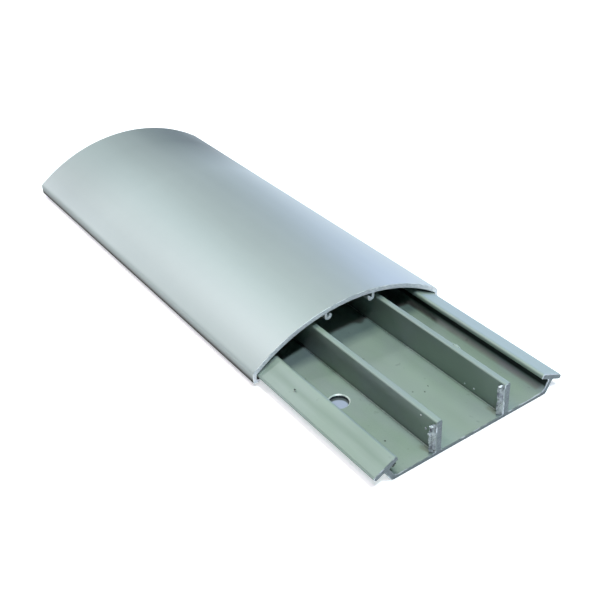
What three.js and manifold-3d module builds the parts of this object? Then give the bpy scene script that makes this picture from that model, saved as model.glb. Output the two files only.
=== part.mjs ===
// Cable trunking for laying on a floor: a low channel with three cable ways and
// an arched cover that snaps over its lips. Both are straight extrusions.
// Millimetres. X runs along the trunking with the open end at +X, Y runs across
// it, +Z is up and z = 0 is the underside of the channel.
import * as THREE from "three";
import { mergeVertices } from "three/addons/utils/BufferGeometryUtils.js";
import Module from "manifold-3d";

// Lengths
const TRUNKING_LENGTH = 220;
const COVER_SETBACK = 56.5; // the cover stops this far short of the open end

// Cover section
const COVER_WIDTH = 75;
const COVER_HEIGHT = 18; // underside of the channel to the crown of the cover
const COVER_WALL = 1.6;
const SHOULDER_HEIGHT = 5.5; // where the arch would meet the upright skirt
const SHOULDER_ROUND = 1.2;
const SKIRT_THICKNESS = 1.3;
const SKIRT_INNER_ROUND = 0.8;
const FOOT_LIFT = 1.5; // the skirt ends this far above the floor it lies on
const FOOT_ROUND = 0.6;
const BEAD_ENGAGEMENT = 0.85; // how far the snap bead reaches under the lip tip
const BEAD_ROOT_ROUND = 0.2;

// Hooks under the crown
const HOOK_SPAN = 19.8; // over the outer faces of the two stems
const HOOK_THICKNESS = 0.95;
const HOOK_SLOT = 0.8; // between a stem and its turned-up toe
const HOOK_DROP = 2.55; // underside of the cover to the lowest point of the hook
const HOOK_TOE_RISE = 0.15; // straight part of the toe between its two rounds
const HOOK_ROOT_ROUND = 0.35;

// Channel section
const FLOOR_WIDTH = 59.2; // over the sharp bottom corners
const FLOOR_THICKNESS = 1.25;
const FLOOR_CORNER_ROUND = 1.2;
const FLOOR_FILLET = 2.2; // inside, where the floor turns up into the wall
const WALL_THICKNESS = 1.6;
const WALL_LEAN = THREE.MathUtils.degToRad(31); // outward from upright
const LIP_INNER_FILLET = 0.8; // under the lip, on the wall's inner face
const LIP_OUTER_FILLET = 0.5; // and on its outer face
const LIP_THICKNESS = 1.65;
const LIP_SLOPE = THREE.MathUtils.degToRad(25); // falls outward
const LIP_MOUTH = 55.2; // between the inner ends of the two lips
const LIP_NOSE_TOP = 0.6; // round on top of the inner end, as a share of the lip's thickness
const LIP_NOSE_BOTTOM = 0.12; // and under it
const FIT_CLEARANCE = 0.35; // between a lip tip and the cover round it

// Dividers between the cable ways
const DIVIDER_SPAN = 28; // over the outer faces of the two dividers
const DIVIDER_THICKNESS = 2.1;
const DIVIDER_HEADROOM = 2.6; // divider top to the underside of the cover
const DIVIDER_TOP_ROUND = 0.5;
const DIVIDER_ROOT_ROUND = 0.35;

// Countersunk fixing holes, one near each end in opposite outer cable ways
const FIXING_BORE = 6.3;
const FIXING_SINK = 7;
const FIXING_END_DISTANCE = 34.3;
const FIXING_OFFSET = 21.7; // from the centre line

// Facets
const ARCH_STEPS = 32; // along each half of the arch
const CORNER_STEP = THREE.MathUtils.degToRad(15);
const HOLE_STEPS = 48;
const CUT_OVERRUN = 1; // cutters run this far past the face that they cut

// Nearly full round ends, with a short flat left so that no edge vanishes
const FULL_ROUND = 0.48;

const halfLength = TRUNKING_LENGTH / 2;
const halfCover = COVER_WIDTH / 2;

// Arch of the cover: one circle through the crown and both shoulders
const archRise = COVER_HEIGHT - SHOULDER_HEIGHT;
const archRadius = (halfCover ** 2 + archRise ** 2) / (2 * archRise);
const archCentre = COVER_HEIGHT - archRadius;
const undersideRadius = archRadius - COVER_WALL;
const heightOn = (radius, y) => archCentre + Math.sqrt(radius ** 2 - y ** 2);

// Lip tip: tucked into the corner between the cover's underside and its skirt
const skirtInner = halfCover - SKIRT_THICKNESS;
const tipRadius = LIP_THICKNESS / 2;
const tipY = skirtInner - FIT_CLEARANCE - tipRadius;
const tipZ = heightOn(undersideRadius - FIT_CLEARANCE - tipRadius, tipY);
const beadTip = tipY + tipRadius - BEAD_ENGAGEMENT;
const beadTop = tipZ - tipRadius - FIT_CLEARANCE;

const dividerOuter = DIVIDER_SPAN / 2;
const dividerInner = dividerOuter - DIVIDER_THICKNESS;
const dividerTop = heightOn(undersideRadius, dividerOuter) - DIVIDER_HEADROOM;

/** Outline through corners [y, z, round], where a round above 0 becomes an arc. */
function outline(corners) {
  const points = [];
  corners.forEach(([y, z, round = 0], i) => {
    const corner = new THREE.Vector2(y, z);
    if (round === 0) {
      points.push(corner);
      return;
    }
    const before = new THREE.Vector2(...corners.at(i - 1)).sub(corner).normalize();
    const after = new THREE.Vector2(...corners[(i + 1) % corners.length]).sub(corner).normalize();
    const halfAngle = Math.acos(before.dot(after)) / 2;
    const toCentre = before.clone().add(after).setLength(round / Math.sin(halfAngle));
    const centre = corner.clone().add(toCentre);
    const start = before.clone().multiplyScalar(round / Math.tan(halfAngle)).add(corner);
    const turn = (Math.PI - 2 * halfAngle) * Math.sign(after.cross(before));
    const steps = Math.ceil(Math.abs(turn) / CORNER_STEP);
    for (let step = 0; step <= steps; step += 1) {
      points.push(start.clone().rotateAround(centre, (turn * step) / steps));
    }
  });
  return points;
}

/** Closed corner list from its right half, which runs from the bottom to the top. */
function mirrored(half) {
  const left = half.filter(([y]) => y > 0).map(([y, ...rest]) => [-y, ...rest]);
  return [...half, ...left.reverse()];
}

/** Corners along the arch from one distance off the centre line to another. */
function archRun(radius, from, to, steps) {
  const start = Math.asin(from / radius);
  const end = Math.asin(to / radius);
  return Array.from({ length: steps + 1 }, (_, step) => {
    const angle = start + ((end - start) * step) / steps;
    return [radius * Math.sin(angle), archCentre + radius * Math.cos(angle)];
  });
}

/** Straight extrusion of a section along X, from xStart over the given length. */
function extrudeAlongX(corners, xStart, length) {
  const shape = new THREE.Shape(outline(mirrored(corners)));
  const geometry = new THREE.ExtrudeGeometry(shape, { depth: length, bevelEnabled: false });
  const sectionToYZ = new THREE.Matrix4().set(0, 0, 1, xStart, 1, 0, 0, 0, 0, 1, 0, 0, 0, 0, 0, 1);
  return geometry.applyMatrix4(sectionToYZ);
}

/** Point on the lip a distance above its middle line, at a given y. */
function lipHeight(y, above) {
  return tipZ + (tipY - y) * Math.tan(LIP_SLOPE) + above / Math.cos(LIP_SLOPE);
}

/** Right half of the channel section: floor, leaning wall, sloping lip, divider. */
function channelHalf() {
  const lean = Math.tan(WALL_LEAN);
  const wallAcross = WALL_THICKNESS / Math.cos(WALL_LEAN);
  const outerFoot = FLOOR_WIDTH / 2;
  const innerFoot = outerFoot - wallAcross;

  // The wall's two faces meet the lip's underside, which falls outward
  const fall = Math.tan(LIP_SLOPE);
  const meetLip = (foot) => {
    const z = lipHeight(foot, -tipRadius) / (1 + lean * fall);
    return [foot + lean * z, z];
  };

  // The lip's tip is square to its slope, then rounded
  const along = new THREE.Vector2(Math.cos(LIP_SLOPE), -Math.sin(LIP_SLOPE));
  const up = new THREE.Vector2(Math.sin(LIP_SLOPE), Math.cos(LIP_SLOPE));
  const tipCorner = (side) => [
    tipY + tipRadius * (along.x + side * up.x),
    tipZ + tipRadius * (along.y + side * up.y),
    FULL_ROUND * LIP_THICKNESS,
  ];
  const lipInner = LIP_MOUTH / 2;

  return [
    [0, 0],
    [outerFoot, 0, FLOOR_CORNER_ROUND],
    [...meetLip(outerFoot), LIP_OUTER_FILLET],
    tipCorner(-1),
    tipCorner(1),
    [lipInner, lipHeight(lipInner, tipRadius), LIP_NOSE_TOP * LIP_THICKNESS],
    [lipInner, lipHeight(lipInner, -tipRadius), LIP_NOSE_BOTTOM * LIP_THICKNESS],
    [...meetLip(innerFoot), LIP_INNER_FILLET],
    [innerFoot + lean * FLOOR_THICKNESS, FLOOR_THICKNESS, FLOOR_FILLET],
    [dividerOuter, FLOOR_THICKNESS, DIVIDER_ROOT_ROUND],
    [dividerOuter, dividerTop, DIVIDER_TOP_ROUND],
    [dividerInner, dividerTop, DIVIDER_TOP_ROUND],
    [dividerInner, FLOOR_THICKNESS, DIVIDER_ROOT_ROUND],
    [0, FLOOR_THICKNESS],
  ];
}

/** Right half of the cover section: underside with its hook, bead, skirt, arch. */
function coverHalf() {
  const stemOuter = HOOK_SPAN / 2;
  const stemInner = stemOuter - HOOK_THICKNESS;
  const toeInner = stemInner - HOOK_SLOT;
  const toeOuter = toeInner - HOOK_THICKNESS;
  const hookBottom = heightOn(undersideRadius, stemOuter) - HOOK_DROP;
  const slotBottom = hookBottom + HOOK_THICKNESS;
  const hookRound = FULL_ROUND * (stemOuter - toeOuter);
  const toeRound = FULL_ROUND * HOOK_THICKNESS;
  const toeTop = hookBottom + hookRound + HOOK_TOE_RISE + toeRound;
  const slotRound = FULL_ROUND * HOOK_SLOT;

  const crownRun = archRun(undersideRadius, 0, stemInner - HOOK_THICKNESS, ARCH_STEPS / 4);
  const flankRun = archRun(undersideRadius, stemOuter + HOOK_THICKNESS, skirtInner, ARCH_STEPS);
  const outerRun = archRun(archRadius, halfCover, 0, ARCH_STEPS);
  const beadRound = FULL_ROUND * (beadTop - FOOT_LIFT);

  return [
    ...crownRun,
    [stemInner, heightOn(undersideRadius, stemInner), HOOK_ROOT_ROUND],
    [stemInner, slotBottom, slotRound],
    [toeInner, slotBottom, slotRound],
    [toeInner, toeTop, toeRound],
    [toeOuter, toeTop, toeRound],
    [toeOuter, hookBottom, hookRound],
    [stemOuter, hookBottom, hookRound],
    [stemOuter, heightOn(undersideRadius, stemOuter), HOOK_ROOT_ROUND],
    ...flankRun.slice(0, -1),
    [...flankRun.at(-1), SKIRT_INNER_ROUND],
    [skirtInner, beadTop, BEAD_ROOT_ROUND],
    [beadTip, beadTop, beadRound],
    [beadTip, FOOT_LIFT, beadRound],
    [halfCover, FOOT_LIFT, FOOT_ROUND],
    [...outerRun[0], SHOULDER_ROUND],
    ...outerRun.slice(1),
  ];
}

/** Round cutter standing on end, which may widen upward. */
function roundCutter({ x, y, bottom, top, bottomDiameter, topDiameter }) {
  const height = top - bottom;
  return new THREE.CylinderGeometry(topDiameter / 2, bottomDiameter / 2, height, HOLE_STEPS)
    .rotateX(Math.PI / 2)
    .translate(x, y, bottom + height / 2);
}

/** Bore and 45 degree countersink of one fixing hole through the channel's floor. */
function fixingHoleCutters(x, y) {
  const sinkDepth = (FIXING_SINK - FIXING_BORE) / 2;
  const bore = roundCutter({
    x, y,
    bottom: -CUT_OVERRUN,
    top: FLOOR_THICKNESS + CUT_OVERRUN,
    bottomDiameter: FIXING_BORE,
    topDiameter: FIXING_BORE,
  });
  const sink = roundCutter({
    x, y,
    bottom: FLOOR_THICKNESS - sinkDepth,
    top: FLOOR_THICKNESS + CUT_OVERRUN,
    bottomDiameter: FIXING_BORE,
    topDiameter: FIXING_SINK + 2 * CUT_OVERRUN,
  });
  return [bore, sink];
}

/** Cuts closed geometries out of a closed geometry. */
function cut(wasm, body, cutters) {
  const toManifold = (geometry) => {
    const bare = geometry.clone();
    bare.deleteAttribute("normal");
    bare.deleteAttribute("uv");
    const merged = mergeVertices(bare);
    return new wasm.Manifold(new wasm.Mesh({
      numProp: 3,
      vertProperties: merged.attributes.position.array,
      triVerts: new Uint32Array(merged.index.array),
    }));
  };
  const result = cutters.reduce((left, cutter) => left.subtract(toManifold(cutter)), toManifold(body));
  const mesh = result.getMesh();
  const geometry = new THREE.BufferGeometry();
  geometry.setAttribute("position", new THREE.BufferAttribute(mesh.vertProperties, 3));
  geometry.setIndex(new THREE.BufferAttribute(mesh.triVerts, 1));
  const faceted = geometry.toNonIndexed();
  faceted.computeVertexNormals();
  return faceted;
}

const wasm = await Module();
wasm.setup();

const fixingX = halfLength - FIXING_END_DISTANCE;
const baseChannel = new THREE.Mesh(
  cut(wasm, extrudeAlongX(channelHalf(), -halfLength, TRUNKING_LENGTH), [
    ...fixingHoleCutters(fixingX, -FIXING_OFFSET),
    ...fixingHoleCutters(-fixingX, FIXING_OFFSET),
  ]),
  new THREE.MeshStandardMaterial({ color: 0x97ada1, roughness: 0.55, metalness: 0.6 }),
);
baseChannel.name = "base_channel";

const coverProfile = new THREE.Mesh(
  extrudeAlongX(coverHalf(), -halfLength, TRUNKING_LENGTH - COVER_SETBACK),
  new THREE.MeshStandardMaterial({ color: 0xc6d1d6, roughness: 0.4, metalness: 0.8 }),
);
coverProfile.name = "cover_profile";

const trunking = new THREE.Group();
trunking.add(baseChannel, coverProfile);

export default trunking;
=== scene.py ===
import math

import bmesh
import bpy
from mathutils import Matrix, Vector, noise


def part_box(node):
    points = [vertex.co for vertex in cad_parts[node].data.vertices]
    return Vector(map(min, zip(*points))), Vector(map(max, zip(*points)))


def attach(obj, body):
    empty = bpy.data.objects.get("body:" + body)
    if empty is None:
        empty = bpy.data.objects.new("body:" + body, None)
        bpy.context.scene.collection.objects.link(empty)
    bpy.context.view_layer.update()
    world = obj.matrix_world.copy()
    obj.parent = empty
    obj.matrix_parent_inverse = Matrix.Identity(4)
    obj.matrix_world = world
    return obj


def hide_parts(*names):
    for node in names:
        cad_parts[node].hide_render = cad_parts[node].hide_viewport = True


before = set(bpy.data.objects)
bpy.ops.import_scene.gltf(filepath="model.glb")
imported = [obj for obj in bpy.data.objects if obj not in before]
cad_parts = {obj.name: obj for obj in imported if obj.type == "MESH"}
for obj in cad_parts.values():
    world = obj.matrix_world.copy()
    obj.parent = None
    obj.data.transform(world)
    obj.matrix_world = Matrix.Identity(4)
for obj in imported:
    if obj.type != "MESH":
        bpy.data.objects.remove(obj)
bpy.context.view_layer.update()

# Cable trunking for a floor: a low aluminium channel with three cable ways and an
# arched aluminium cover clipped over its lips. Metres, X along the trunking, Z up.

# Channel
# One aluminium extrusion with a matte sage-grey finish: floor, two dividers and two
# leaning walls that carry the lips. Sawn to length, drilled and countersunk for screws.

MM = 0.001

channel_low, channel_high = (Vector(corner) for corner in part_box("base_channel"))

FLOOR_WIDTH = 59.2 * MM
FLOOR_THICKNESS = 1.25 * MM
FLOOR_CORNER_ROUND = 1.2 * MM
FLOOR_FILLET = 2.2 * MM
WALL_THICKNESS = 1.6 * MM
WALL_LEAN = math.radians(31)
LIP_INNER_FILLET = 0.8 * MM
LIP_OUTER_FILLET = 0.5 * MM
LIP_THICKNESS = 1.65 * MM
LIP_SLOPE = math.radians(25)
LIP_MOUTH = 55.2 * MM
LIP_NOSE_TOP = 0.6  # rounds of the lip's nose, as shares of its thickness
LIP_NOSE_BOTTOM = 0.12
LIP_TIP_HEIGHT = 3.875 * MM
DIVIDER_SPAN = 28 * MM
DIVIDER_THICKNESS = 2.1 * MM
DIVIDER_TOP_ROUND = 0.5 * MM
DIVIDER_ROOT_ROUND = 0.35 * MM
FIXING_BORE = 6.3 * MM
FIXING_SINK = 7 * MM
FIXING_END_DISTANCE = 34.3 * MM
FIXING_OFFSET = 21.7 * MM
HOLE_STEPS = 72
CUTTER_OVERSHOOT = 1 * MM
CHANNEL_END_CHAMFER = 0.19 * MM
FULL_ROUND = 0.48  # share of a thickness that rounds its edge almost fully
CORNER_SEGMENTS = 6
SMOOTH_BELOW = math.radians(35)
MERGE_WITHIN = 0.0001 * MM

# Material slots of the channel. The cover uses the first two of them in the same way.
SAWN_SLOT, RIM_SLOT, BORE_SLOT, COUNTERSINK_SLOT = 1, 2, 3, 4


def polygon(bm, places):
    """Open chain of straight edges through (y, z) places at the origin of X."""
    verts = [bm.verts.new((0, y, z)) for y, z in places]
    for start, end in zip(verts, verts[1:]):
        bm.edges.new((start, end))
    return verts


def round_corner(bm, corner, radius):
    """Turns one corner of a flat outline into an arc of the given radius."""
    before, after = (edge.other_vert(corner).co - corner.co for edge in corner.link_edges)
    reach = radius / math.tan(before.angle(after) / 2)
    bmesh.ops.bevel(
        bm, geom=[corner], offset=reach, offset_type="OFFSET", affect="VERTICES",
        segments=CORNER_SEGMENTS, profile=0.5, material=-1,
    )


def extrude_section(bm, x_start, x_end):
    """Mirrors the half section across Y = 0 and draws it out along X."""
    bmesh.ops.edgenet_fill(bm, edges=bm.edges[:])
    half = bm.verts[:] + bm.edges[:] + bm.faces[:]
    bmesh.ops.mirror(bm, geom=half, axis="Y", merge_dist=MERGE_WITHIN)
    on_centre = [e for e in bm.edges if len(e.link_faces) == 2]
    bmesh.ops.dissolve_edges(bm, edges=on_centre, use_verts=False)
    bmesh.ops.translate(bm, verts=bm.verts[:], vec=(x_start, 0, 0))
    drawn = bmesh.ops.extrude_face_region(bm, geom=bm.faces[:])
    new_verts = [g for g in drawn["geom"] if isinstance(g, bmesh.types.BMVert)]
    bmesh.ops.translate(bm, verts=new_verts, vec=(x_end - x_start, 0, 0))
    bmesh.ops.recalc_face_normals(bm, faces=bm.faces[:])


def finish_ends(bm, chamfer):
    """Bares both sawn ends and breaks their rims; rims that face down take the darker sawn colour as
    painted shade.
    """
    ends = [f for f in bm.faces if abs(f.normal.x) > 0.9]
    for face in ends:
        face.material_index = SAWN_SLOT
    rims = [e for e in bm.edges if sum(f in ends for f in e.link_faces) == 1]
    broken = bmesh.ops.bevel(
        bm, geom=rims, offset=chamfer, offset_type="OFFSET", affect="EDGES",
        segments=1, profile=0.5, material=RIM_SLOT, clamp_overlap=True,
    )
    # Rims facing down are given the darker sawn colour as painted shade.
    for face in broken["faces"]:
        if face.normal.z < -0.5:
            face.material_index = SAWN_SLOT


def lip_height(y, above):
    """Height on the lip at y, a distance above its middle line."""
    return LIP_TIP_HEIGHT + (tip_y - y) * math.tan(LIP_SLOPE) + above / math.cos(LIP_SLOPE)


tip_radius = LIP_THICKNESS / 2
tip_y = channel_high.y - tip_radius
lean = math.tan(WALL_LEAN)
outer_foot = FLOOR_WIDTH / 2
inner_foot = outer_foot - WALL_THICKNESS / math.cos(WALL_LEAN)
lip_inner = LIP_MOUTH / 2
divider_outer = DIVIDER_SPAN / 2
divider_inner = divider_outer - DIVIDER_THICKNESS
divider_top = channel_high.z


def where_wall_meets_lip(foot):
    """Place (y, z) where a face of the wall runs into the lip's underside."""
    z = lip_height(foot, -tip_radius) / (1 + lean * math.tan(LIP_SLOPE))
    return foot + lean * z, z


def tip_corner(side):
    """Square corner of the lip's tip, above (1) or below (-1) its middle line."""
    return (
        tip_y + tip_radius * (math.cos(LIP_SLOPE) + side * math.sin(LIP_SLOPE)),
        LIP_TIP_HEIGHT + tip_radius * (side * math.cos(LIP_SLOPE) - math.sin(LIP_SLOPE)),
    )


channel_corners = [
    ((0, 0), 0),
    ((outer_foot, 0), FLOOR_CORNER_ROUND),
    (where_wall_meets_lip(outer_foot), LIP_OUTER_FILLET),
    (tip_corner(-1), FULL_ROUND * LIP_THICKNESS),
    (tip_corner(1), FULL_ROUND * LIP_THICKNESS),
    ((lip_inner, lip_height(lip_inner, tip_radius)), LIP_NOSE_TOP * LIP_THICKNESS),
    ((lip_inner, lip_height(lip_inner, -tip_radius)), LIP_NOSE_BOTTOM * LIP_THICKNESS),
    (where_wall_meets_lip(inner_foot), LIP_INNER_FILLET),
    ((inner_foot + lean * FLOOR_THICKNESS, FLOOR_THICKNESS), FLOOR_FILLET),
    ((divider_outer, FLOOR_THICKNESS), DIVIDER_ROOT_ROUND),
    ((divider_outer, divider_top), DIVIDER_TOP_ROUND),
    ((divider_inner, divider_top), DIVIDER_TOP_ROUND),
    ((divider_inner, FLOOR_THICKNESS), DIVIDER_ROOT_ROUND),
    ((0, FLOOR_THICKNESS), 0),
]

channel = bmesh.new()
outline = polygon(channel, [place for place, _ in channel_corners])
channel.edges.new((outline[-1], outline[0]))
for corner, (_, radius) in zip(outline, channel_corners):
    if radius:
        round_corner(channel, corner, radius)
extrude_section(channel, channel_low.x, channel_high.x)
finish_ends(channel, CHANNEL_END_CHAMFER)


def countersink(x, y):
    """Shape that a drill and countersink clear from the floor at (x, y)."""
    bore, sink = FIXING_BORE / 2, FIXING_SINK / 2
    top = FLOOR_THICKNESS + CUTTER_OVERSHOOT
    profile = [
        (0, -CUTTER_OVERSHOOT), (bore, -CUTTER_OVERSHOOT), (bore, FLOOR_THICKNESS - (sink - bore)),
        (sink + CUTTER_OVERSHOOT, top), (0, top),
    ]
    bm = bmesh.new()
    polygon(bm, profile)
    bmesh.ops.spin(
        bm, geom=bm.verts[:] + bm.edges[:], cent=(0, 0, 0), axis=(0, 0, 1),
        angle=math.tau, steps=HOLE_STEPS, use_merge=True,
    )
    bmesh.ops.remove_doubles(bm, verts=bm.verts[:], dist=MERGE_WITHIN)
    bmesh.ops.recalc_face_normals(bm, faces=bm.faces[:])
    bmesh.ops.translate(bm, verts=bm.verts[:], vec=(x, y, 0))
    for face in bm.faces:
        face.material_index = COUNTERSINK_SLOT if abs(face.normal.z) > 0.1 else BORE_SLOT
    return bm


def link_mesh(name, bm, materials):
    """Object with the bmesh's shape and the given materials."""
    mesh = bpy.data.meshes.new(name)
    bm.to_mesh(mesh)
    bm.free()
    for material in materials:
        mesh.materials.append(material)
    piece = bpy.data.objects.new(name, mesh)
    bpy.context.collection.objects.link(piece)
    return piece


def take_away(bm, cutter, materials):
    """Cuts one closed shape out of another, both with the same material slots."""
    whole, tool = link_mesh("whole", bm, materials), link_mesh("tool", cutter, materials)
    cut = whole.modifiers.new("cut", "BOOLEAN")
    cut.operation = "DIFFERENCE"
    cut.solver = "EXACT"
    cut.object = tool
    left = bmesh.new()
    left.from_mesh(whole.evaluated_get(bpy.context.evaluated_depsgraph_get()).data)
    for used in (whole.data, tool.data):
        bpy.data.meshes.remove(used)
    return left


def make_piece(name, bm, materials):
    """Mesh object from a bmesh, smooth where faces meet at a shallow angle."""
    for face in bm.faces:
        face.smooth = True
    for edge in bm.edges:
        if len(edge.link_faces) == 2 and edge.calc_face_angle() > SMOOTH_BELOW:
            edge.smooth = False
    return link_mesh(name, bm, materials)


def steady_shading(piece):
    """Keeps broad flat faces flat where they run into small rounds."""
    weighted = piece.modifiers.new("flat_faces", "WEIGHTED_NORMAL")
    weighted.keep_sharp = True


def add_node(tree, kind, inputs=None, **options):
    """Adds a node, sets its options and fills or links its inputs."""
    node = tree.nodes.new(kind)
    for option, value in options.items():
        setattr(node, option, value)
    for socket, value in (inputs or {}).items():
        if isinstance(value, bpy.types.NodeSocket):
            tree.links.new(value, node.inputs[socket])
        else:
            node.inputs[socket].default_value = value
    return node


def calculate(tree, operation, first, second=0.0, clamp=False):
    """Result of a sum on two numbers or sockets."""
    terms = {0: first, 1: second}
    return add_node(tree, "ShaderNodeMath", terms, operation=operation, use_clamp=clamp).outputs[0]


def weigh(tree, *shares):
    """Sum of values, each times its share."""
    total = 0.0
    for value, share in shares:
        terms = {0: value, 1: share, 2: total}
        total = add_node(tree, "ShaderNodeMath", terms, operation="MULTIPLY_ADD").outputs[0]
    return total


def spread(tree, value, low, high, new_low=0.0, new_high=1.0):
    """Value stretched from one range to another and held inside it."""
    ends = {0: value, 1: low, 2: high, 3: new_low, 4: new_high}
    return add_node(tree, "ShaderNodeMapRange", ends, clamp=True).outputs[0]


def blend_colours(tree, factor, first, second):
    """First colour where the factor is 0, second where it is 1."""
    colours = {0: factor, 6: first, 7: second}
    return add_node(tree, "ShaderNodeMix", colours, data_type="RGBA").outputs[2]


def position(tree):
    """Where a spot lies on the piece: along X, across Y and up Z."""
    place = add_node(tree, "ShaderNodeTexCoord").outputs["Object"]
    return add_node(tree, "ShaderNodeSeparateXYZ", {0: place}).outputs


def grain(tree, per_metre, detail=3.0, turn=(0, 0, 0)):
    """Noise fixed to the piece, with its own fineness along each axis."""
    place = add_node(tree, "ShaderNodeTexCoord").outputs["Object"]
    mapping = {"Vector": place, "Rotation": turn, "Scale": per_metre}
    stretched = add_node(tree, "ShaderNodeMapping", mapping).outputs[0]
    pattern = {"Vector": stretched, "Scale": 1.0, "Detail": detail}
    return add_node(tree, "ShaderNodeTexNoise", pattern).outputs[0]


def new_group(name, inputs, outputs):
    """Empty node group with number sockets, and its entry and exit sockets."""
    group = bpy.data.node_groups.new(name, "ShaderNodeTree")
    for socket, value in inputs.items():
        made = group.interface.new_socket(socket, in_out="INPUT", socket_type="NodeSocketFloat")
        made.default_value = value
    for socket in outputs:
        group.interface.new_socket(socket, in_out="OUTPUT", socket_type="NodeSocketFloat")
    entry, way_out = group.nodes.new("NodeGroupInput"), group.nodes.new("NodeGroupOutput")
    return group, entry.outputs, way_out.inputs


def place_group(tree, group, inputs):
    """Puts a node group in a material with its own values, and gives its outputs."""
    node = add_node(tree, "ShaderNodeGroup", node_tree=group)
    for socket, value in inputs.items():
        node.inputs[socket].default_value = value
    return node.outputs


# Drawn metal has lines and bands from the die along X, a fine speckle and soft clouds.
drawn_surface, given, result = new_group("drawn_surface", {"Contrast": 1.0}, ["Tone", "Height"])
lines = grain(drawn_surface, (4, 1400, 1400), 4.0)
speckle = grain(drawn_surface, (2600, 2600, 2600), 2.0)
clouds = grain(drawn_surface, (22, 60, 60), 2.0)
mottle = grain(drawn_surface, (210, 210, 210), 3.0)
bands = grain(drawn_surface, (3, 260, 260), 1.0)
tone = weigh(
    drawn_surface, (clouds, 0.25), (bands, 0.3), (mottle, 0.2), (speckle, 0.15), (lines, 0.1)
)
off_middle = calculate(drawn_surface, "SUBTRACT", tone, 0.5)
contrasted = calculate(drawn_surface, "MULTIPLY", off_middle, given["Contrast"])
drawn_surface.links.new(calculate(drawn_surface, "ADD", contrasted, 0.5, clamp=True), result["Tone"])
drawn_surface.links.new(weigh(drawn_surface, (lines, 0.6), (speckle, 0.4)), result["Height"])

# The finish is rubbed off along edges, unevenly.
edge_wear, given, result = new_group("edge_wear", {"Radius": 0.3 * MM, "Amount": 1.0}, ["Wear"])
rounded = add_node(edge_wear, "ShaderNodeBevel", {"Radius": given["Radius"]}, samples=4).outputs[0]
true_normal = add_node(edge_wear, "ShaderNodeNewGeometry").outputs["True Normal"]
normals = {0: rounded, 1: true_normal}
likeness = add_node(edge_wear, "ShaderNodeVectorMath", normals, operation="DOT_PRODUCT").outputs["Value"]
turned = spread(edge_wear, likeness, 0.995, 0.8)
in_patches = spread(edge_wear, grain(edge_wear, (90, 500, 500), 4.0), 0.35, 0.65)
worn = calculate(edge_wear, "MULTIPLY", turned, in_patches)
edge_wear.links.new(calculate(edge_wear, "MULTIPLY", worn, given["Amount"], clamp=True), result["Wear"])


def openness(tree, reach):
    """How open a spot is to its surroundings within a reach, 0.5 in a square corner."""
    options = {"samples": 8, "only_local": True}
    return add_node(tree, "ShaderNodeAmbientOcclusion", {"Distance": reach}, **options).outputs["AO"]


# Painted shade darkens corners and slits, and painted light brightens what stands open,
# most of all where it faces up and on the right lip.
CORNER_REACH = 1.5 * MM
OPEN_LIGHT_REACH = 12 * MM
painted_shade_and_light, given, result = new_group("painted_shade_and_light", {}, ["Rubbed", "Painted Shade"])
in_corner = spread(painted_shade_and_light, openness(painted_shade_and_light, CORNER_REACH), 0.78, 0.52)
painted_shade_and_light.links.new(in_corner, result["Painted Shade"])
along, across, height = position(painted_shade_and_light)
on_right_lip = spread(painted_shade_and_light, across, lip_inner, lip_inner + 2 * MM, 1.0, 1.5)
normal = add_node(painted_shade_and_light, "ShaderNodeNewGeometry").outputs["True Normal"]
upward = add_node(painted_shade_and_light, "ShaderNodeSeparateXYZ", {0: normal}).outputs["Z"]
facing_up = spread(painted_shade_and_light, upward, 0.0, 0.6, 0.3, 1.0)
standing_open = spread(painted_shade_and_light, openness(painted_shade_and_light, OPEN_LIGHT_REACH), 0.66, 0.92)
painted_light = calculate(painted_shade_and_light, "MULTIPLY", standing_open, facing_up)
painted_shade_and_light.links.new(calculate(painted_shade_and_light, "MULTIPLY", painted_light, on_right_lip), result["Rubbed"])

# A painted shadow of each lip darkens the upper part of the leaning wall under it. The left lip
# has a dull streak along it, is handled towards the open end, and painted shade darkens the lower half
# of its tip.
LIP_SHADOW_CLEARANCE = 0.3 * MM
LIP_SHADOW_FROM, LIP_SHADOW_FULL = 2.5 * MM, 3.0 * MM
STREAK_OFFSET = 31.8 * MM
STREAK_REACH, STREAK_CORE = 1.8 * MM, 0.2 * MM
HANDLED_FROM, HANDLED_FULL = 50 * MM, 95 * MM
TIP_SHADE_FADE = 0.15 * MM

lip_marks_and_shadow, given, result = new_group("lip_marks_and_shadow", {}, ["Grime", "Streak", "Painted Tip Shade"])
along, side, height = position(lip_marks_and_shadow)
from_middle = calculate(lip_marks_and_shadow, "ABSOLUTE", side)
from_wall = weigh(lip_marks_and_shadow, (from_middle, 1), (height, -lean))
from_lip = weigh(lip_marks_and_shadow, (from_middle, math.tan(LIP_SLOPE)), (height, 1))
lip_underside = lip_height(lip_inner, -tip_radius) + lip_inner * math.tan(LIP_SLOPE)

inside = calculate(lip_marks_and_shadow, "LESS_THAN", from_wall, inner_foot + LIP_SHADOW_CLEARANCE)
below = calculate(lip_marks_and_shadow, "LESS_THAN", from_lip, lip_underside + 0.1 * MM)
beyond_nose = calculate(lip_marks_and_shadow, "GREATER_THAN", from_middle, lip_inner + 0.1 * MM)
high_up = spread(lip_marks_and_shadow, height, LIP_SHADOW_FROM, LIP_SHADOW_FULL, 0.0, 0.9)
lip_shadow = calculate(lip_marks_and_shadow, "MULTIPLY", high_up, calculate(lip_marks_and_shadow, "MULTIPLY", inside, below))
lip_marks_and_shadow.links.new(calculate(lip_marks_and_shadow, "MULTIPLY", lip_shadow, beyond_nose), result["Grime"])

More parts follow.
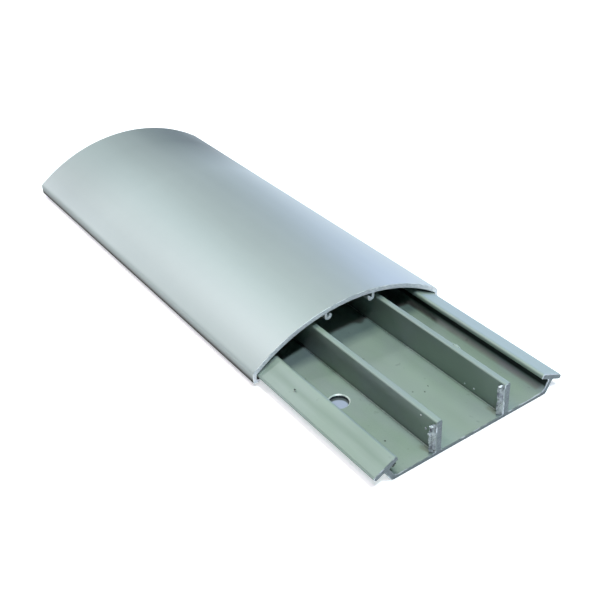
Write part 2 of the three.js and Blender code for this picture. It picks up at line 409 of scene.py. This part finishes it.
unevenly = spread(lip_marks_and_shadow, grain(lip_marks_and_shadow, (30, 160, 160), 2.0), 0.3, 0.6, 0.2, 0.8)
off_streak = calculate(lip_marks_and_shadow, "ABSOLUTE", calculate(lip_marks_and_shadow, "ADD", side, STREAK_OFFSET))
near_streak = spread(lip_marks_and_shadow, off_streak, STREAK_REACH, STREAK_CORE)
on_left = calculate(lip_marks_and_shadow, "LESS_THAN", side, -lip_inner)
near_end = spread(lip_marks_and_shadow, along, HANDLED_FROM, HANDLED_FULL, 0.0, 0.95)
handled = calculate(lip_marks_and_shadow, "MULTIPLY", near_end, on_left)
dulled = calculate(lip_marks_and_shadow, "MULTIPLY", calculate(lip_marks_and_shadow, "ADD", near_streak, handled), unevenly)
on_top = calculate(lip_marks_and_shadow, "GREATER_THAN", from_lip, lip_underside + 0.4 * MM)
lip_marks_and_shadow.links.new(calculate(lip_marks_and_shadow, "MULTIPLY", dulled, on_top), result["Streak"])

# Painted shade darkens the lower half of the left lip's tip.
tip_shade_top, tip_shade_bottom = LIP_TIP_HEIGHT + TIP_SHADE_FADE, LIP_TIP_HEIGHT - TIP_SHADE_FADE
low_on_tip = spread(lip_marks_and_shadow, height, tip_shade_top, tip_shade_bottom, 0.0, 0.95)
on_tip = calculate(lip_marks_and_shadow, "LESS_THAN", side, -tip_y)
lip_marks_and_shadow.links.new(calculate(lip_marks_and_shadow, "MULTIPLY", low_on_tip, on_tip), result["Painted Tip Shade"])

# A saw leaves fine scratches that lean with the blade, dark smears and small pits.
SAW_LEAN = math.radians(18)
saw_marks, given, result = new_group("saw_marks", {"Smears": 0.5}, ["Scratches", "Smear", "Height"])
scratches = grain(saw_marks, (300, 900, 5200), 3.0, (SAW_LEAN, 0, 0))
smears = grain(saw_marks, (200, 260, 900), 3.0, (SAW_LEAN, 0, 0))
smear = spread(saw_marks, smears, 0.5, 0.68)
pits = grain(saw_marks, (2500, 2500, 2500), 4.0)
saw_marks.links.new(scratches, result["Scratches"])
saw_marks.links.new(calculate(saw_marks, "MULTIPLY", smear, given["Smears"]), result["Smear"])
saw_marks.links.new(weigh(saw_marks, (scratches, 0.7), (pits, 0.3)), result["Height"])


def new_material(name, metallic):
    """Material with its node tree and shader."""
    material = bpy.data.materials.new(name)
    material.use_nodes = True
    shader = material.node_tree.nodes["Principled BSDF"]
    shader.inputs["Metallic"].default_value = metallic
    return material, material.node_tree, shader


def roughen(tree, shader, height, depth):
    """Feeds a height pattern to the shader as fine relief of the given depth."""
    relief = {"Height": height, "Distance": depth, "Strength": 1.0}
    tree.links.new(add_node(tree, "ShaderNodeBump", relief).outputs[0], shader.inputs["Normal"])


# Beside a saw cut the finish has chipped off in a thin ragged strip, more so on the right.
CHIPPED_REACH = 0.4 * MM
CHIPPED_FADE = 0.05 * MM
chipped_strip, given, result = new_group("chipped_strip", {}, ["Chipped"])
along, across, height = position(chipped_strip)
from_centre = calculate(chipped_strip, "ABSOLUTE", along)
from_cut = calculate(chipped_strip, "SUBTRACT", channel_high.x, from_centre)
to_right = spread(chipped_strip, across, 12 * MM, 27 * MM, -0.06, 0.2)
ragged = weigh(chipped_strip, (grain(chipped_strip, (500, 420, 420), 3.0), 1), (to_right, 1))
reach = spread(chipped_strip, ragged, 0.5, 0.75, 0.0, CHIPPED_REACH)
beside = calculate(chipped_strip, "SUBTRACT", reach, from_cut)
chipped = spread(chipped_strip, beside, -CHIPPED_FADE, CHIPPED_FADE)
chipped_strip.links.new(chipped, result["Chipped"])

SAGE_DARK = (0.204, 0.277, 0.236, 1)
SAGE_LIGHT = (0.281, 0.363, 0.313, 1)
SAGE_COOL = (0.262, 0.318, 0.318, 1)
SAGE_PAINTED_LIGHT = (0.40, 0.48, 0.45, 1)
BARE_EDGE = (0.56, 0.64, 0.62, 1)
BARE_CUT = (0.56, 0.62, 0.66, 1)
DULL_MARK = (0.12, 0.15, 0.13, 1)
PAINTED_SHADE_DARK = (0.012, 0.018, 0.015, 1)

channel_finish, tree, shader = new_material("channel_matte_sage", 0.5)
surface = place_group(tree, drawn_surface, {"Contrast": 2.0})
wear = place_group(tree, edge_wear, {"Radius": 0.35 * MM, "Amount": 0.8})["Wear"]
corners = place_group(tree, painted_shade_and_light, {})
lips = place_group(tree, lip_marks_and_shadow, {})
chipped = place_group(tree, chipped_strip, {})["Chipped"]
colour = blend_colours(tree, surface["Tone"], SAGE_DARK, SAGE_LIGHT)
drift = spread(tree, grain(tree, (50, 90, 90), 2.0), 0.42, 0.62, 0.0, 0.8)
colour = blend_colours(tree, drift, colour, SAGE_COOL)
# Painted light: open, upward-facing spots and the right lip are lightened.
painted_light = calculate(tree, "MULTIPLY", corners["Rubbed"], 0.48)
colour = blend_colours(tree, painted_light, colour, SAGE_PAINTED_LIGHT)
flecks = spread(tree, grain(tree, (420, 420, 420), 1.0), 0.73, 0.8, 0.0, 0.25)
colour = blend_colours(tree, flecks, colour, DULL_MARK)
colour = blend_colours(tree, wear, colour, BARE_EDGE)
# Painted shade darkens the corners.
colour = blend_colours(tree, corners["Painted Shade"], colour, PAINTED_SHADE_DARK)
# Painted shadow of each lip on the wall beneath it.
colour = blend_colours(tree, lips["Grime"], colour, PAINTED_SHADE_DARK)
streak = calculate(tree, "MULTIPLY", lips["Streak"], 0.6)
colour = blend_colours(tree, streak, colour, SAGE_DARK)
# Painted shade on the lower half of the left lip's tip.
colour = blend_colours(tree, lips["Painted Tip Shade"], colour, PAINTED_SHADE_DARK)
colour = blend_colours(tree, chipped, colour, BARE_CUT)
tree.links.new(colour, shader.inputs["Base Color"])
tree.links.new(spread(tree, surface["Tone"], 0, 1, 0.52, 0.64), shader.inputs["Roughness"])
roughen(tree, shader, surface["Height"], 0.02 * MM)

SAWN_SHADE_FROM, SAWN_SHADE_FULL = 1.6 * MM, 0.7 * MM
SAWN_LIGHT = (0.175, 0.21, 0.24, 1)
SAWN_DARK = (0.07, 0.09, 0.105, 1)
CUT_EDGE_BRIGHT = (0.56, 0.61, 0.68, 1)
CUT_EDGE_DULL = (0.19, 0.23, 0.24, 1)
BORE_LIGHT = (0.10, 0.125, 0.13, 1)
BORE_DARK = (0.05, 0.062, 0.068, 1)
COUNTERSINK_BRIGHT = (0.80, 0.88, 0.86, 1)
COUNTERSINK_DULL = (0.62, 0.70, 0.68, 1)


def sawn_end(name, light, dark, metallic, smears):
    """Bare metal as the saw leaves it, with painted shade darkening it close to the floor."""
    material, tree, shader = new_material(name, metallic)
    marks = place_group(tree, saw_marks, {"Smears": smears})
    streaked = spread(tree, marks["Scratches"], 0.3, 0.7)
    colour = blend_colours(tree, streaked, dark, light)
    colour = blend_colours(tree, marks["Smear"], colour, dark)
    # Painted shade darkens the cut towards the floor.
    painted_low_shade = spread(tree, position(tree)["Z"], SAWN_SHADE_FROM, SAWN_SHADE_FULL, 0.0, 0.6)
    colour = blend_colours(tree, painted_low_shade, colour, dark)
    tree.links.new(colour, shader.inputs["Base Color"])
    tree.links.new(spread(tree, streaked, 0, 1, 0.35, 0.6), shader.inputs["Roughness"])
    roughen(tree, shader, marks["Height"], 0.12 * MM)
    return material


def patchy(name, bright, dull, lopsided=0.0):
    """Bright in patches and dull in others, and duller to the left where it is lopsided."""
    material, tree, shader = new_material(name, 0.3)
    to_right = spread(tree, position(tree)["Y"], 8 * MM, 24 * MM, -lopsided, lopsided)
    noisy = weigh(tree, (grain(tree, (600, 320, 320), 2.0), 1), (to_right, 1))
    patches = spread(tree, noisy, 0.42, 0.56)
    tree.links.new(blend_colours(tree, patches, dull, bright), shader.inputs["Base Color"])
    shader.inputs["Roughness"].default_value = 0.4
    return material


channel_materials = [
    channel_finish,
    sawn_end("channel_sawn_end", SAWN_LIGHT, SAWN_DARK, 0.5, 0.6),
    patchy("channel_cut_edge", CUT_EDGE_BRIGHT, CUT_EDGE_DULL, 0.09),
    sawn_end("drilled_bore", BORE_LIGHT, BORE_DARK, 0.4, 0.5),
    patchy("countersunk_rim", COUNTERSINK_BRIGHT, COUNTERSINK_DULL),
]

hole_x = channel_high.x - FIXING_END_DISTANCE
for x, y in ((hole_x, -FIXING_OFFSET), (-hole_x, FIXING_OFFSET)):
    channel = take_away(channel, countersink(x, y), channel_materials)

channel_piece = make_piece("channel_extrusion", channel, channel_materials)
steady_shading(channel_piece)
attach(channel_piece, "root")
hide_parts("base_channel")

# Divider burrs
# Thin ragged skins of aluminium that the saw pushed off both dividers at the open end.
# They are part of the same metal and fold back from the dividers' sawn edges.

BURR_THICKNESS = 0.14 * MM
BURR_REACH = 2.1 * MM
BURR_CURL = 0.5 * MM
BURR_FOLD = 0.3 * MM
BURR_BOTTOM = 1.0 * MM
BURR_OVERLAP = 0.1 * MM
BURR_RIPPLE = 0.2 * MM
BURR_BEHIND_END = 0.01 * MM
BURR_COLUMNS = 14
BURR_ROWS = 48
BURR_TEETH, BURR_RIPPLES, BURR_CRUMPLES = 5, 6, 22
TORN_LIGHT = (0.22, 0.245, 0.28, 1)
TORN_DARK = (0.055, 0.065, 0.08, 1)

torn_metal, tree, shader = new_material("torn_aluminium", 0.5)
blotches = spread(tree, grain(tree, (900, 900, 700), 3.0), 0.36, 0.62)
wear = place_group(tree, edge_wear, {"Radius": 0.2 * MM, "Amount": 0.35})["Wear"]
colour = blend_colours(tree, blotches, TORN_DARK, TORN_LIGHT)
colour = blend_colours(tree, wear, colour, BARE_EDGE)
tree.links.new(colour, shader.inputs["Base Color"])
shader.inputs["Roughness"].default_value = 0.42
roughen(tree, shader, blotches, 0.08 * MM)


def burr(name, root_y, top, seed):
    """Ragged skin folded over from a divider's edge, with a torn rim that curls back."""
    bm = bmesh.new()
    bmesh.ops.create_grid(bm, x_segments=BURR_COLUMNS, y_segments=BURR_ROWS, size=0.5)
    for vert in bm.verts:
        out, rise = 0.5 - vert.co.x, 0.5 + vert.co.y
        tooth = noise.noise(Vector((seed, BURR_TEETH * rise, 0)))
        ripple = noise.noise(Vector((seed, BURR_RIPPLES * rise, 3 * out)))
        crumple = noise.noise(Vector((seed, BURR_CRUMPLES * rise, 9 * out)))
        fold = math.exp(-(((out - 0.18) / 0.12) ** 2))
        stands_out = BURR_FOLD * (fold * (1 + ripple) + 0.6 * crumple * out)
        curls_back = BURR_CURL * out * (out + 0.5 + ripple)
        vert.co = (
            stands_out - curls_back,
            root_y + BURR_OVERLAP - BURR_REACH * out * (0.95 + 0.35 * tooth * out),
            BURR_BOTTOM + (top - BURR_BOTTOM) * rise + BURR_RIPPLE * ripple * out,
        )
    bmesh.ops.solidify(bm, geom=bm.verts[:] + bm.edges[:] + bm.faces[:], thickness=BURR_THICKNESS)
    foremost = max(vert.co.x for vert in bm.verts)
    to_end = channel_high.x - BURR_BEHIND_END - foremost
    bmesh.ops.translate(bm, verts=bm.verts[:], vec=(to_end, 0, 0))
    bmesh.ops.recalc_face_normals(bm, faces=bm.faces[:])
    piece = make_piece(name, bm, [torn_metal])
    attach(piece, "root")


burr("left_divider_burr", -divider_outer, 11.7 * MM, 3.0)
burr("right_divider_burr", divider_inner, 12.3 * MM, 8.0)

# Swarf, grit and painted shade
# Crumbs of aluminium from sawing, stuck to the dividers near the open end, beads of metal
# rolled over on the dividers' sawn edges, a bruise on top of the right divider, grit, and two dark lumps
# of painted shade.

CRUMB_BRIGHT = (0.82, 0.88, 0.92, 1)
CRUMB_DULL = (0.45, 0.50, 0.55, 1)
BEAD_BRIGHT = (0.42, 0.47, 0.50, 1)
BEAD_DULL = (0.27, 0.31, 0.34, 1)
GRIT_AND_SHADE_LIGHT = (0.06, 0.075, 0.07, 1)
GRIT_AND_SHADE_DARK = (0.03, 0.04, 0.035, 1)

# Each lump is its middle x, y and z, then its half sizes, all in millimetres.
end_x = channel_high.x / MM
bright_crumbs = [
    (end_x - 16.1, divider_inner / MM, 2.7, 0.3, 0.2, 0.3),
    (end_x - 12.1, divider_inner / MM, 3.2, 0.35, 0.2, 0.35),
    (end_x - 6.5, -divider_outer / MM, 10.6, 0.25, 0.2, 0.25),
    (end_x - 4.4, -divider_outer / MM, 7.15, 0.5, 0.25, 0.5),
    (end_x - 0.7, -15.2, 10.9, 0.45, 0.6, 0.4),
    (end_x - 0.7, -15.7, 11.25, 0.4, 0.45, 0.35),
    (end_x - 0.8, -15.9, 8.6, 0.4, 0.6, 0.4),
    (end_x - 0.55, 10.5, 12.15, 0.4, 0.95, 0.25),
]
edge_beads = [
    (end_x - 0.21, 11.7, 6.6, 0.15, 0.26, 5.6),
    (end_x - 0.21, -14.2, 7.4, 0.15, 0.2, 4.0),
]
bruise = [(end_x - 22.4, 13.9, 11.95, 2.2, 0.65, 0.45)]
dark_grit_and_painted_shade = [
    (end_x - 21.8, 1.2, 1.25, 0.3, 0.2, 0.1),
    (end_x - 12.4, -21.9, 1.25, 0.4, 0.3, 0.1),
    (end_x - 25.7, -27.0, 1.3, 0.3, 0.3, 0.1),
    (end_x - 24.0, -1.6, 1.25, 0.25, 0.25, 0.1),
    (end_x - 31.2, -6.5, 1.25, 0.25, 0.35, 0.1),
    (end_x - 23.3, 3.8, 1.25, 0.3, 0.2, 0.1),
    (end_x - 41.4, -32.4, 6.65, 0.45, 0.3, 0.1),
    (end_x - 0.24, -14.25, 2.1, 0.17, 0.5, 0.45),
    # These two dark lumps sit in the recess under the left lip's nose as painted shade.
    (end_x - 0.5, -28.9, 4.8, 0.35, 0.6, 0.6),
    (end_x - 0.45, -28.3, 5.3, 0.3, 0.35, 0.4),
]


def scatter(name, lumps, material):
    """One mesh of small uneven lumps."""
    bm = bmesh.new()
    for *place, half_x, half_y, half_z in lumps:
        lump = bmesh.ops.create_icosphere(bm, subdivisions=3, radius=1)["verts"]
        for vert in lump:
            vert.co *= 0.8 + 0.5 * noise.noise(1.3 * vert.co + Vector(place))
        bmesh.ops.scale(bm, verts=lump, vec=(half_x * MM, half_y * MM, half_z * MM))
        bmesh.ops.translate(bm, verts=lump, vec=Vector(place) * MM)
    piece = make_piece(name, bm, [material])
    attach(piece, "root")


bright_metal = patchy("bright_aluminium", CRUMB_BRIGHT, CRUMB_DULL)
bead_metal = patchy("dull_bead", BEAD_BRIGHT, BEAD_DULL)
grit = patchy("dark_grit_and_painted_shade", GRIT_AND_SHADE_LIGHT, GRIT_AND_SHADE_DARK)
scatter("saw_swarf", bright_crumbs, bright_metal)
scatter("divider_edge_beads", edge_beads, bead_metal)
scatter("divider_bruise", bruise, channel_finish)
scatter("grit_and_painted_shade_lumps", dark_grit_and_painted_shade, grit)

# Cover
# One aluminium extrusion, satin silver: an arch with short skirts that clip over the
# lips, and two small hooks under the crown. Sawn shorter than the channel.

cover_low, cover_high = (Vector(corner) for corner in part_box("cover_profile"))

COVER_WALL = 1.6 * MM
SHOULDER_HEIGHT = 5.5 * MM
SHOULDER_ROUND = 1.2 * MM
SKIRT_THICKNESS = 1.3 * MM
SKIRT_INNER_ROUND = 0.8 * MM
FOOT_ROUND = 0.6 * MM
BEAD_ENGAGEMENT = 0.85 * MM
BEAD_ROOT_ROUND = 0.2 * MM
FIT_CLEARANCE = 0.35 * MM
HOOK_SPAN = 19.8 * MM
HOOK_THICKNESS = 0.95 * MM
HOOK_SLOT = 0.8 * MM
HOOK_DROP = 2.55 * MM
HOOK_TOE_RISE = 0.15 * MM
HOOK_ROOT_ROUND = 0.35 * MM
COVER_END_CHAMFER = 0.1 * MM
ARCH_STEPS = 72

half_cover = cover_high.y
arch_rise = cover_high.z - SHOULDER_HEIGHT
arch_radius = (half_cover**2 + arch_rise**2) / (2 * arch_rise)
arch_centre = cover_high.z - arch_radius
underside_radius = arch_radius - COVER_WALL
skirt_inner = half_cover - SKIRT_THICKNESS
bead_tip = channel_high.y - BEAD_ENGAGEMENT
bead_top = LIP_TIP_HEIGHT - tip_radius - FIT_CLEARANCE
bead_round = FULL_ROUND * (bead_top - cover_low.z)


def underside(y):
    """Height of the cover's underside at y."""
    return arch_centre + math.sqrt(underside_radius**2 - y**2)


def arch_from(bm, start, end_y, radius, steps):
    """Adds an arc round the arch's centre from a vertex to the given y."""
    turn = math.asin(start.co.y / radius) - math.asin(end_y / radius)
    spun = bmesh.ops.spin(
        bm, geom=[start], cent=(0, 0, arch_centre), axis=(1, 0, 0),
        angle=turn, steps=steps, use_merge=False,
    )
    return next(g for g in spun["geom_last"] if isinstance(g, bmesh.types.BMVert))


stem_outer = HOOK_SPAN / 2
stem_inner = stem_outer - HOOK_THICKNESS
toe_inner = stem_inner - HOOK_SLOT
toe_outer = toe_inner - HOOK_THICKNESS
hook_round = FULL_ROUND * (stem_outer - toe_outer)
toe_round = FULL_ROUND * HOOK_THICKNESS
slot_round = FULL_ROUND * HOOK_SLOT
hook_bottom = underside(stem_outer) - HOOK_DROP
slot_bottom = hook_bottom + HOOK_THICKNESS
toe_top = hook_bottom + hook_round + HOOK_TOE_RISE + toe_round

hook_corners = [
    ((stem_inner, underside(stem_inner)), HOOK_ROOT_ROUND),
    ((stem_inner, slot_bottom), slot_round),
    ((toe_inner, slot_bottom), slot_round),
    ((toe_inner, toe_top), toe_round),
    ((toe_outer, toe_top), toe_round),
    ((toe_outer, hook_bottom), hook_round),
    ((stem_outer, hook_bottom), hook_round),
    ((stem_outer, underside(stem_outer)), HOOK_ROOT_ROUND),
]
skirt_corners = [
    ((skirt_inner, underside(skirt_inner)), SKIRT_INNER_ROUND),
    ((skirt_inner, bead_top), BEAD_ROOT_ROUND),
    ((bead_tip, bead_top), bead_round),
    ((bead_tip, cover_low.z), bead_round),
    ((half_cover, cover_low.z), FOOT_ROUND),
    ((half_cover, SHOULDER_HEIGHT), SHOULDER_ROUND),
]

cover = bmesh.new()
hook = polygon(cover, [place for place, _ in hook_corners])
skirt = polygon(cover, [place for place, _ in skirt_corners])
crown_top = arch_from(cover, skirt[-1], 0, arch_radius, ARCH_STEPS)
crown_under = arch_from(cover, hook[0], 0, underside_radius, ARCH_STEPS // 4)
flank_end = arch_from(cover, skirt[0], stem_outer, underside_radius, ARCH_STEPS)
bmesh.ops.weld_verts(cover, targetmap={flank_end: hook[-1]})
cover.edges.new((crown_top, crown_under))
for corner, (_, radius) in zip(hook + skirt, hook_corners + skirt_corners):
    round_corner(cover, corner, radius)
extrude_section(cover, cover_low.x, cover_high.x)
finish_ends(cover, COVER_END_CHAMFER)

SILVER_DARK = (0.395, 0.45, 0.455, 1)
SILVER_LIGHT = (0.46, 0.52, 0.52, 1)
BARE_RIM = (0.70, 0.74, 0.76, 1)
FAR_END_PAINTED_SHADE = (0.13, 0.165, 0.17, 1)
FOOT_PAINTED_SHADE = (0.035, 0.028, 0.027, 1)
COVER_SAWN_LIGHT = (0.90, 0.91, 0.94, 1)
COVER_SAWN_DARK = (0.48, 0.52, 0.60, 1)
COVER_EDGE_BRIGHT = (0.90, 0.93, 0.96, 1)
COVER_EDGE_DULL = (0.50, 0.54, 0.58, 1)
FAR_SHADE_FROM, FAR_SHADE_FULL = -58 * MM, -92 * MM
FOOT_SHADE_TOP, FOOT_DEEP_SHADE_TOP, FOOT_SHADE_FULL = 6.3 * MM, 3.5 * MM, 2.6 * MM

cover_finish, tree, shader = new_material("cover_satin_silver", 0.4)
surface = place_group(tree, drawn_surface, {"Contrast": 1.2})
wear = place_group(tree, edge_wear, {"Radius": 0.3 * MM, "Amount": 0.6})["Wear"]
colour = blend_colours(tree, surface["Tone"], SILVER_DARK, SILVER_LIGHT)
colour = blend_colours(tree, wear, colour, BARE_RIM)
along, across, height = position(tree)
# Painted shade darkens the right of the cover towards its far end.
at_far_end = spread(tree, along, FAR_SHADE_FROM, FAR_SHADE_FULL)
on_right = spread(tree, across, 3 * MM, 27 * MM, 0.2, 0.95)
painted_far_shade = calculate(tree, "MULTIPLY", at_far_end, on_right)
colour = blend_colours(tree, painted_far_shade, colour, FAR_END_PAINTED_SHADE)
# Painted shade darkens the skirts towards their feet and makes them less metallic.
dulled = spread(tree, height, FOOT_SHADE_TOP, FOOT_SHADE_FULL)
deep_foot_shade = spread(tree, height, FOOT_DEEP_SHADE_TOP, FOOT_SHADE_FULL)
foot_shade = weigh(tree, (dulled, 0.68), (deep_foot_shade, 0.3))
tree.links.new(spread(tree, foot_shade, 0, 1, 0.4, 0.0), shader.inputs["Metallic"])
colour = blend_colours(tree, foot_shade, colour, FOOT_PAINTED_SHADE)
tree.links.new(colour, shader.inputs["Base Color"])
roughness = weigh(tree, (surface["Tone"], 0.10), (foot_shade, 0.5), (1, 0.42))
tree.links.new(roughness, shader.inputs["Roughness"])
roughen(tree, shader, surface["Height"], 0.012 * MM)

cover_materials = [
    cover_finish,
    sawn_end("cover_sawn_end", COVER_SAWN_LIGHT, COVER_SAWN_DARK, 0.15, 0.45),
    patchy("cover_cut_edge", COVER_EDGE_BRIGHT, COVER_EDGE_DULL),
]
cover_piece = make_piece("cover_extrusion", cover, cover_materials)
steady_shading(cover_piece)
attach(cover_piece, "root")
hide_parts("cover_profile")

# Stage
# A plain pale floor with a faint glow of its own, painted dark as the channel's shadow where the channel
# lies on it, with a painted pool of light that shows only through the fixing hole. Soft boxes stand
# overhead and all round.

FLOOR_REACH = 20
FLOOR_PALE = (0.88, 0.89, 0.90, 1)
FLOOR_PAINTED_SHADOW = (0.06, 0.075, 0.08, 1)
FLOOR_PAINTED_HOLE_LIGHT = (0.30, 0.34, 0.45, 1)
FLOOR_GLOW_COLOUR = (0.95, 0.97, 1.0, 1)
FLOOR_GLOW = 0.55
SHADED_INSET = 1.2 * MM  # from the channel's outline inwards
LIT_RADIUS, LIT_FADE = 3.0 * MM, 0.2 * MM
LIT_PLACE = (hole_x + 0.7 * MM, -FIXING_OFFSET - 0.6 * MM, 0)
WALL_PALE = (0.56, 0.57, 0.59, 1)
WALL_LIGHT = (0.72, 0.84, 1.0, 1)
WALL_GLOW = 0.02

floor = bmesh.new()
bmesh.ops.create_grid(floor, x_segments=1, y_segments=1, size=FLOOR_REACH)
floor_paint, tree, shader = new_material("floor_pale", 0.0)
along, across, height = position(tree)
# Painted shadow of the channel on the floor, with a painted pool of light under the fixing hole.
under_length = calculate(
    tree, "LESS_THAN", calculate(tree, "ABSOLUTE", along), channel_high.x - SHADED_INSET
)
under_width = calculate(
    tree, "LESS_THAN", calculate(tree, "ABSOLUTE", across), outer_foot - SHADED_INSET
)
shaded = calculate(tree, "MULTIPLY", under_length, under_width)
spot = add_node(tree, "ShaderNodeTexCoord").outputs["Object"]
measured = {0: spot, 1: LIT_PLACE}
from_lit = add_node(tree, "ShaderNodeVectorMath", measured, operation="DISTANCE").outputs["Value"]
lit = spread(tree, from_lit, LIT_RADIUS - LIT_FADE, LIT_RADIUS + LIT_FADE, 1, 0)
under_channel = blend_colours(tree, lit, FLOOR_PAINTED_SHADOW, FLOOR_PAINTED_HOLE_LIGHT)
colour = blend_colours(tree, shaded, FLOOR_PALE, under_channel)
tree.links.new(colour, shader.inputs["Base Color"])
glow = spread(tree, shaded, 0, 1, FLOOR_GLOW, 0.0)
tree.links.new(glow, shader.inputs["Emission Strength"])
shader.inputs["Emission Color"].default_value = FLOOR_GLOW_COLOUR
shader.inputs["Roughness"].default_value = 0.8
floor_plane = make_piece("floor", floor, [floor_paint])

LIGHTS_AIM = Vector((-0.05, 0, 0))


def soft_light(name, centre, size, power, colour):
    """Rectangular soft light that faces the trunking."""
    light = bpy.data.lights.new(name, "AREA")
    light.shape = "RECTANGLE"
    light.size, light.size_y = size
    light.energy = power
    light.color = colour
    lamp = bpy.data.objects.new(name, light)
    lamp.location = centre
    lamp.visible_camera = False
    lamp.rotation_euler = (LIGHTS_AIM - Vector(centre)).to_track_quat("-Z", "Y").to_euler()
    bpy.context.collection.objects.link(lamp)


soft_light("front_key", (0.54, 0, 1.10), (0.1, 0.1), 7.6, (0.69, 0.93, 1.0))
soft_light("front_left_key", (0.57, -0.36, 1.02), (0.1, 0.1), 2.1, (1.0, 0.74, 0.86))
soft_light("overhead_box", (0, 0, 1.25), (0.42, 0.42), 8.4, (0.95, 1.0, 0.79))
soft_light("low_box_at_far_left", (-1.25, -0.32, 0.17), (0.42, 0.28), 5.3, (0.94, 0.92, 1.0))
soft_light("high_box_at_far_left", (-0.75, -0.40, 0.96), (0.12, 0.12), 3.1, (1.0, 0.89, 0.96))
soft_light("high_box_at_back", (-0.93, 0, 0.88), (0.42, 0.42), 1.6, (0.82, 0.95, 1.0))
soft_light("blue_box_at_right", (-0.47, 1.05, 0.53), (0.42, 0.42), 5.4, (0.49, 0.56, 1.0))

# The studio's walls give little light but look about as pale as the floor.
world = bpy.data.worlds.new("studio")
world.use_nodes = True
walls = world.node_tree
seen = add_node(walls, "ShaderNodeLightPath").outputs["Is Camera Ray"]
background = walls.nodes["Background"].inputs
walls.links.new(blend_colours(walls, seen, WALL_LIGHT, WALL_PALE), background["Color"])
walls.links.new(spread(walls, seen, 0, 1, WALL_GLOW, 1.0), background["Strength"])
bpy.context.scene.world = world
bpy.context.scene.view_settings.view_transform = "Standard"

CAMERA_PLACE = (255.9 * MM, -153.2 * MM, 187.8 * MM)
CAMERA_FORWARD = (-0.6919, 0.4592, -0.5571)
CAMERA_UP = (-0.4338, 0.3523, 0.8293)
FRAME_PIXELS = 600
FOCAL_PIXELS = 969.8

camera = bpy.data.objects.new("camera", bpy.data.cameras.new("camera"))
forward = Vector(CAMERA_FORWARD).normalized()
right = forward.cross(Vector(CAMERA_UP)).normalized()
up = right.cross(forward)
turn = Matrix((right, up, -forward)).transposed()
camera.matrix_world = Matrix.Translation(CAMERA_PLACE) @ turn.to_4x4()
camera.data.lens = camera.data.sensor_width * FOCAL_PIXELS / FRAME_PIXELS
camera.data.clip_start = 0.01
bpy.context.collection.objects.link(camera)
bpy.context.scene.camera = camera
